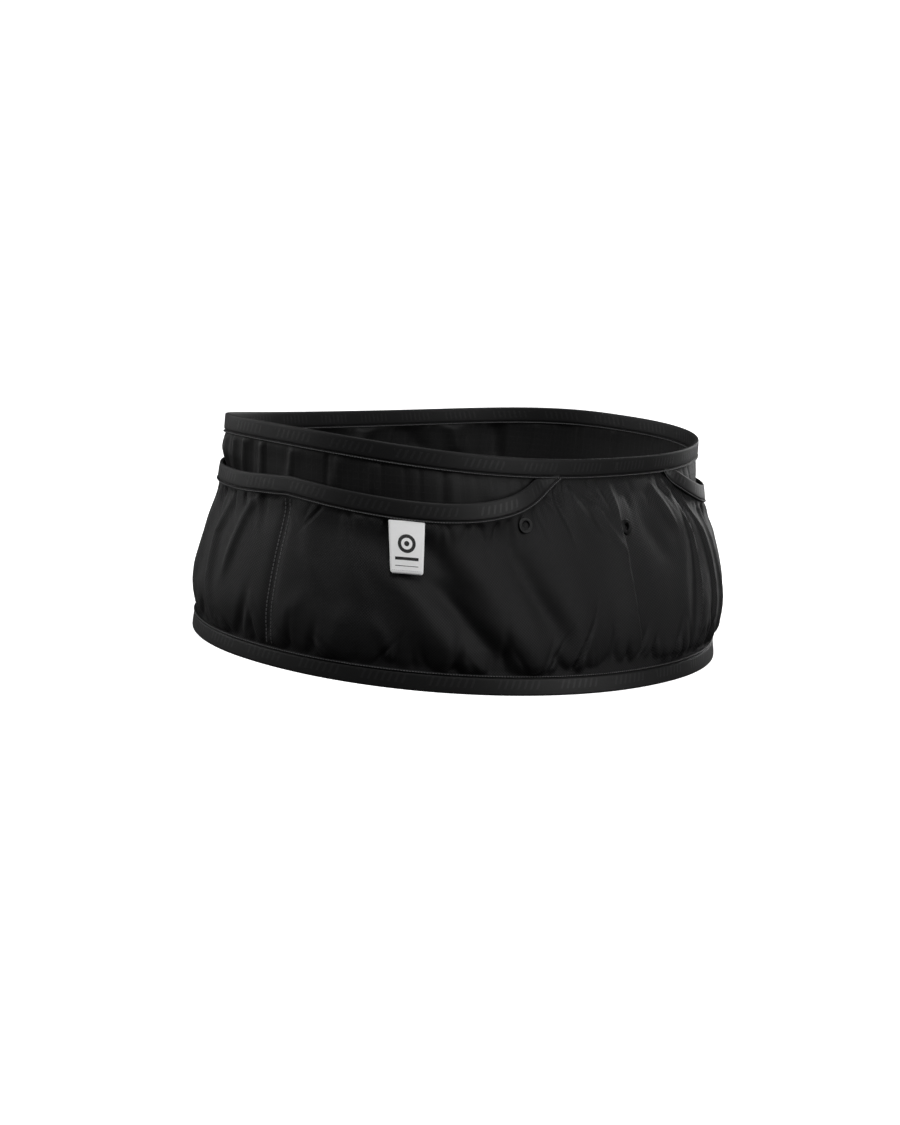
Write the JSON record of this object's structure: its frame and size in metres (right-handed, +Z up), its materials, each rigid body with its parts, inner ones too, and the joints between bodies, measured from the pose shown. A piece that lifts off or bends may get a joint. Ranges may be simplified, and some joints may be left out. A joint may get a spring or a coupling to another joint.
{
  "type": "money belt",
  "caption": "Stretch tubular money belt worn on the hips: a fabric tube with front and back pockets, scooped pocket mouths, elastic bindings, cord eyelets and a folded label.",
  "frame": {"origin": "centre of the belt's footprint, on the plane its lower edge rests on", "axes": "+X to the right seen from the front, -Y the wearer's front, +Z up towards the waist edge"},
  "size_m": [0.316, 0.278, 0.1221],
  "materials": {
    "outer_cloth": "matt twill stretch knit",
    "inner_cloth": "matt ripstop stretch cloth",
    "elastic_tape": "soft satin fold-over elastic",
    "thread": "matt thread",
    "eyelet_metal": "semi-matt black",
    "label_ribbon": "woven satin ribbon",
    "label_thread": "matt thread"
  },
  "bodies": {
    "belt": {"waist_binding": "elastic_tape", "waist_stitching": "thread", "hem_binding": "elastic_tape", "hem_stitching": "thread", "inner_front_panel": "inner_cloth", "inner_back_panel": "inner_cloth", "outer_front_panel": "outer_cloth", "outer_back_panel": "outer_cloth", "left_seam_stitching": "thread", "right_seam_stitching": "thread", "eyelets": "eyelet_metal", "eyelet_washers": "eyelet_metal"},
    "left_pocket_lip": {"left_pocket_binding": "elastic_tape", "left_pocket_stitching": "thread"},
    "right_pocket_lip": {"right_pocket_binding": "elastic_tape", "right_pocket_stitching": "thread"},
    "back_pocket_lip": {"back_pocket_binding": "elastic_tape", "back_pocket_stitching": "thread"},
    "label_tab": {"label": "label_ribbon", "label_stitching": "label_thread"}
  },
  "joints": [
    {"name": "left_pocket_mouth", "type": "slide", "parent": "belt", "child": "left_pocket_lip", "axis": [-0.6428, -0.766, 0], "range_m": [0, 0.012], "stiffness_N_per_m": 60},
    {"name": "right_pocket_mouth", "type": "slide", "parent": "belt", "child": "right_pocket_lip", "axis": [0.6428, -0.766, 0], "range_m": [0, 0.012], "stiffness_N_per_m": 60},
    {"name": "back_pocket_mouth", "type": "slide", "parent": "belt", "child": "back_pocket_lip", "axis": [0, 1, 0], "range_m": [0, 0.012], "stiffness_N_per_m": 60},
    {"name": "label_flap", "type": "hinge", "parent": "left_pocket_lip", "child": "label_tab", "pos_m": [-0.13346, -0.06837, 0.08228], "axis": [-0.6448, 0.7643, 0], "range_deg": [0, 150]}
  ]
}
